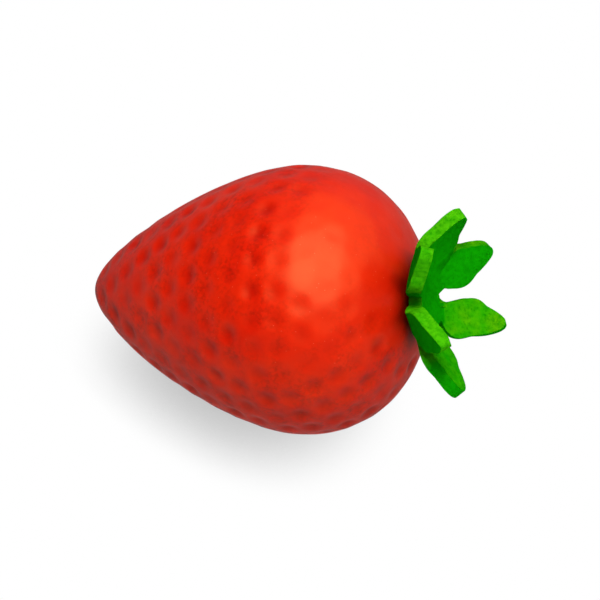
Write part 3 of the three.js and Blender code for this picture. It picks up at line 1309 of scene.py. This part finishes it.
def white_table():
    """A white glow with a painted contact shadow for the eye, a grey bounce, and a dim glow in gloss."""
    material, tree, _ = new_material("plain_white_table")
    bounce = add_node(tree, "ShaderNodeBsdfDiffuse", {"Color": linear(FLOOR_BOUNCE)})
    side = add_node(tree, "ShaderNodeCombineXYZ", dict(zip("XYZ", SHADOW_SIDE)))
    open_sky = add_node(
        tree,
        "ShaderNodeAmbientOcclusion",
        {"Distance": SHADOW_REACH, "Normal": side.outputs["Vector"]},
        samples=16,
    )
    shade = add_node(
        tree,
        "ShaderNodeMapRange",
        {"Value": open_sky.outputs["AO"], "From Max": SHADOW_STARTS, "To Min": SHADOW_DARKEST},
        interpolation_type="SMOOTHSTEP",
    )
    # Painted shadow: the table glows white, darker where ambient occlusion finds the strawberry near.
    seen = add_node(tree, "ShaderNodeEmission", {"Color": WHITE, "Strength": shade.outputs["Result"]})
    # A dim glow that shows only in the strawberry's gloss.
    mirrored = add_node(tree, "ShaderNodeEmission", {"Color": WHITE, "Strength": TABLE_IN_GLOSS})
    path = add_node(tree, "ShaderNodeLightPath")
    unseen = add_node(
        tree,
        "ShaderNodeMixShader",
        {0: path.outputs["Is Glossy Ray"], 1: bounce.outputs["BSDF"], 2: mirrored.outputs["Emission"]},
    )
    shader = add_node(
        tree,
        "ShaderNodeMixShader",
        {0: path.outputs["Is Camera Ray"], 1: unseen.outputs["Shader"], 2: seen.outputs["Emission"]},
    )
    add_node(tree, "ShaderNodeOutputMaterial", {"Surface": shader.outputs["Shader"]})
    return material


start_fresh()
bpy.ops.mesh.primitive_plane_add(size=FLOOR_SIZE, location=(0, 0, 0))
floor = bpy.context.object
floor.name = floor.data.name = "studio_table"
floor.data.materials.append(white_table())
floor.visible_shadow = False
print(floor.name, "is", FLOOR_SIZE, "m wide")

# %% [markdown]
# ## The studio: the lights
#
# A small key light from above lights the surfaces. What shows in the gloss is set apart from it: a
# soft box for the broad highlight, a wide dim ceiling around it, a warm panel behind for the
# shoulder's rim and a dim panel in front for the lower flank.

# %% Soft lights
WARM = "#ffe68c"
COOL = "#c4f2ff"

# Each light: the direction it shines from, its distance and its two widths in metres, how bright
# its face is, whether it lights the surfaces or only shows in their gloss, and its colour.
LIGHTS = [
    ("key_light", (0.12, -0.20, 0.97), 0.63, (0.2, 0.2), 37.0, "surfaces", "#ffffff"),
    ("soft_box", (0.30, -0.03, 0.95), 0.63, (0.78, 0.74), 5.8, "gloss", COOL),
    ("ceiling", (0.35, -0.10, 0.93), 0.8, (2.2, 1.7), 0.65, "gloss", WARM),
    ("back_panel", (0.45, 0.50, 0.74), 0.8, (1.4, 1.2), 1.2, "gloss", WARM),
    ("front_panel", (0.32, -0.89, 0.32), 0.8, (1.8, 1.6), 0.34, "gloss", "#ffffff"),
]


def add_soft_light(name, direction, distance, widths, radiance, shows_in, colour):
    """An oval soft light that faces the strawberry from a direction."""
    towards = Vector(direction).normalized()
    start_fresh()
    bpy.ops.object.light_add(type="AREA", location=body_middle + towards * distance)
    light = bpy.context.object
    light.name = light.data.name = name
    light.rotation_euler = towards.to_track_quat("Z", "Y").to_euler()
    light.data.shape = "ELLIPSE"
    light.data.size, light.data.size_y = widths
    oval = math.pi * widths[0] * widths[1] / 4
    light.data.energy = radiance * math.pi * oval
    light.data.color = linear(colour)[:3]
    light.visible_diffuse = shows_in == "surfaces"
    light.visible_glossy = shows_in == "gloss"


body_middle = sum((Vector(corner) for corner in body.bound_box), Vector()) / 8
for light in LIGHTS:
    add_soft_light(*light)

# %% [markdown]
# ## The studio: the room
#
# The rest of the light comes from a dim room, which is brighter above and towards the right and
# the back, so the shadow side keeps some shape.

# %% Dim room
ROOM_BRIGHT_SIDE = (0.42, 0.42, 0.80)
ROOM_BRIGHT = 0.52
ROOM_DARK = 0.05


def light_surroundings():
    """A dim room that is brighter above and towards the right and the back."""
    world = bpy.data.worlds.new("dim_room")
    world.use_nodes = True
    tree = world.node_tree
    tree.nodes.clear()
    direction = add_node(tree, "ShaderNodeTexCoord").outputs["Generated"]
    towards_bright = add_node(
        tree, "ShaderNodeVectorMath", {0: direction, 1: ROOM_BRIGHT_SIDE}, operation="DOT_PRODUCT"
    )
    strength = add_node(
        tree,
        "ShaderNodeMapRange",
        {"Value": towards_bright.outputs["Value"], "To Min": ROOM_DARK, "To Max": ROOM_BRIGHT},
        interpolation_type="SMOOTHSTEP",
    )
    glow = add_node(
        tree, "ShaderNodeBackground", {"Color": WHITE, "Strength": strength.outputs["Result"]}
    )
    add_node(tree, "ShaderNodeOutputWorld", {"Surface": glow.outputs["Background"]})
    bpy.context.scene.world = world


light_surroundings()
print("world:", bpy.context.scene.world.name)

# %% [markdown]
# ## The camera
#
# A long lens looks down on the strawberry from a little to the right of its side, so its tip turns
# slightly away. It aims near the middle of the axis, and its distance follows from how wide a
# view it has to take in.

# %% Camera
CAMERA_AZIMUTH = math.radians(16.1)
CAMERA_ELEVATION = math.radians(53)
LENS = 1000.0
SENSOR = 36.0
VIEW_WIDTH = 85.8 * MM
AIM_FROM_TIP = 32.06 * MM


def add_camera():
    axis = Vector((math.cos(REST_TILT), 0, math.sin(REST_TILT)))
    level = math.cos(CAMERA_ELEVATION)
    towards = Vector(
        (
            math.sin(CAMERA_AZIMUTH) * level,
            -math.cos(CAMERA_AZIMUTH) * level,
            math.sin(CAMERA_ELEVATION),
        )
    )
    distance = VIEW_WIDTH * LENS / SENSOR
    start_fresh()
    bpy.ops.object.camera_add(location=tip_place + axis * AIM_FROM_TIP + towards * distance)
    camera = bpy.context.object
    camera.name = camera.data.name = "studio_camera"
    camera.rotation_euler = towards.to_track_quat("Z", "Y").to_euler()
    camera.data.lens = LENS
    camera.data.sensor_width = SENSOR
    bpy.context.scene.camera = camera
    return camera


camera = add_camera()
bpy.context.scene.view_settings.view_transform = "Standard"
print("camera at", [round(value, 3) for value in camera.location])

# %% [markdown]
# ## Finish
#

# %% Finish
print("finished")
